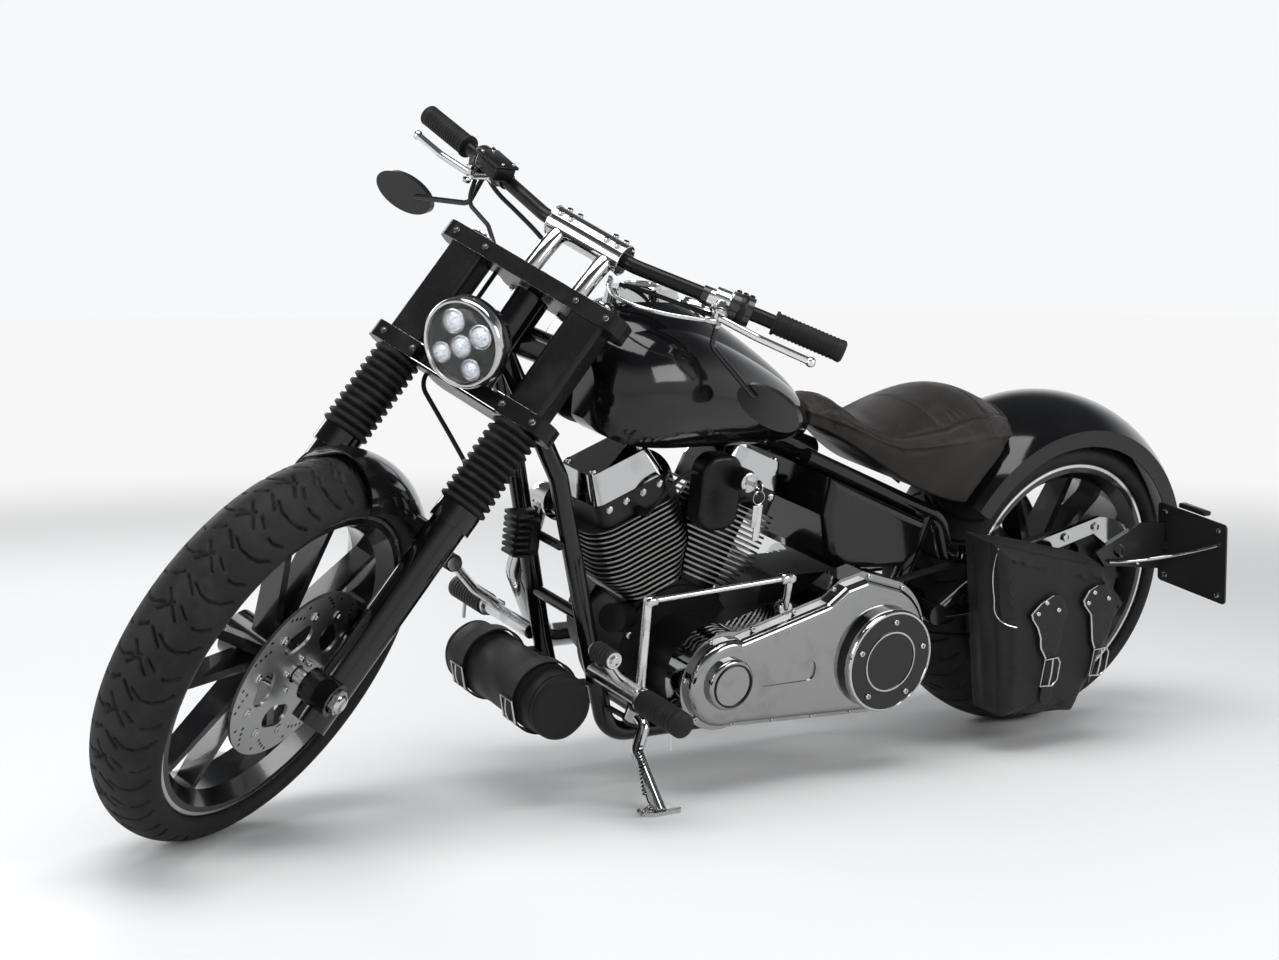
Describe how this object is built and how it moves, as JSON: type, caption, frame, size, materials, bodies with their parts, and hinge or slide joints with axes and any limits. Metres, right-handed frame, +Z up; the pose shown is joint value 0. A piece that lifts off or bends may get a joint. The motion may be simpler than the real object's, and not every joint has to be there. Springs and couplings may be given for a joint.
{
  "type": "chopper motorcycle",
  "caption": "Long low V-engined chopper with a drag bar, raked fork, wide rear tyre, side bag, and chrome pipes, parked leaning on its side stand.",
  "frame": {"origin": "centre of the parked machine's bounding box, on the ground", "axes": "+X towards the front of the machine, +Y to its left, +Z up"},
  "size_m": [2.3758, 0.7738, 1.2158],
  "materials": {
    "gloss_black": "gloss black paint",
    "satin_black": "satin black paint",
    "engine_black": "wrinkle black paint with bright fin edges",
    "chrome": "polished chrome, a little dusty",
    "silver": "polished aluminium",
    "disc_steel": "brushed steel",
    "tyre_rubber": "matt black rubber",
    "black_rubber": "matt black rubber",
    "black_leather": "black leather, worn",
    "seat_leather": "quilted brown-black leather",
    "lamp_glass": "clear lens",
    "plate_white": "plain white plate"
  },
  "bodies": {
    "body": {"frame_spine": "gloss_black", "frame_cradle": "gloss_black", "swingarm": "gloss_black", "rear_axle": "chrome", "crankcase": "engine_black", "cylinders": "engine_black", "rocker_covers": "chrome", "key_switch": "satin_black", "primary_cover": "chrome", "clutch_cover": "gloss_black", "air_cleaner": "gloss_black", "exhaust": "chrome", "oil_tank": "gloss_black", "fuel_tank": "gloss_black", "tank_console": "chrome", "seat": "seat_leather", "rear_fender": "gloss_black", "fender_struts": "chrome", "saddlebag": "black_leather", "number_plate": "plate_white", "tool_roll": "black_leather", "regulator": "satin_black", "foot_controls": "silver", "drive_belt": "black_rubber", "rear_caliper": "satin_black"},
    "steering": {"fork_clamps": "satin_black", "fork_tubes": "chrome", "fork_covers": "satin_black", "fork_gaiters": "black_rubber", "fork_sliders": "satin_black", "front_axle": "silver", "front_fender": "gloss_black", "front_caliper": "satin_black", "headlamp": "gloss_black", "headlamp_lens": "lamp_glass", "handlebar": "satin_black", "bar_risers": "chrome", "grips": "black_rubber", "bar_controls": "silver", "mirrors": "satin_black", "brake_hose": "black_rubber"},
    "front_wheel": {"front_tyre": "tyre_rubber", "front_rim": "satin_black", "front_disc": "disc_steel"},
    "rear_wheel": {"rear_tyre": "tyre_rubber", "rear_rim": "satin_black", "rear_pulley": "satin_black", "rear_disc": "disc_steel"},
    "side_stand": {"side_stand": "chrome"}
  },
  "joints": [
    {"name": "steering", "type": "hinge", "parent": "body", "child": "steering", "pos_m": [1.02861, -0.06169, -0.01121], "axis": [-0.5674, 0.1498, 0.8097], "range_deg": [-67.54, 0]},
    {"name": "front_wheel_spin", "type": "hinge", "parent": "steering", "child": "front_wheel", "pos_m": [0.87344, 0.04226, 0.31399], "axis": [-0.4577, 0.76, -0.4613], "continuous": true},
    {"name": "rear_wheel_spin", "type": "hinge", "parent": "body", "child": "rear_wheel", "pos_m": [-0.8259, -0.00004, 0.32208], "axis": [0, 0.9833, -0.1819], "continuous": true},
    {"name": "side_stand_fold", "type": "hinge", "parent": "body", "child": "side_stand", "pos_m": [0.20903, 0.11683, 0.15119], "axis": [0.0071, 0.5072, 0.8618], "range_deg": [0, 80]}
  ]
}
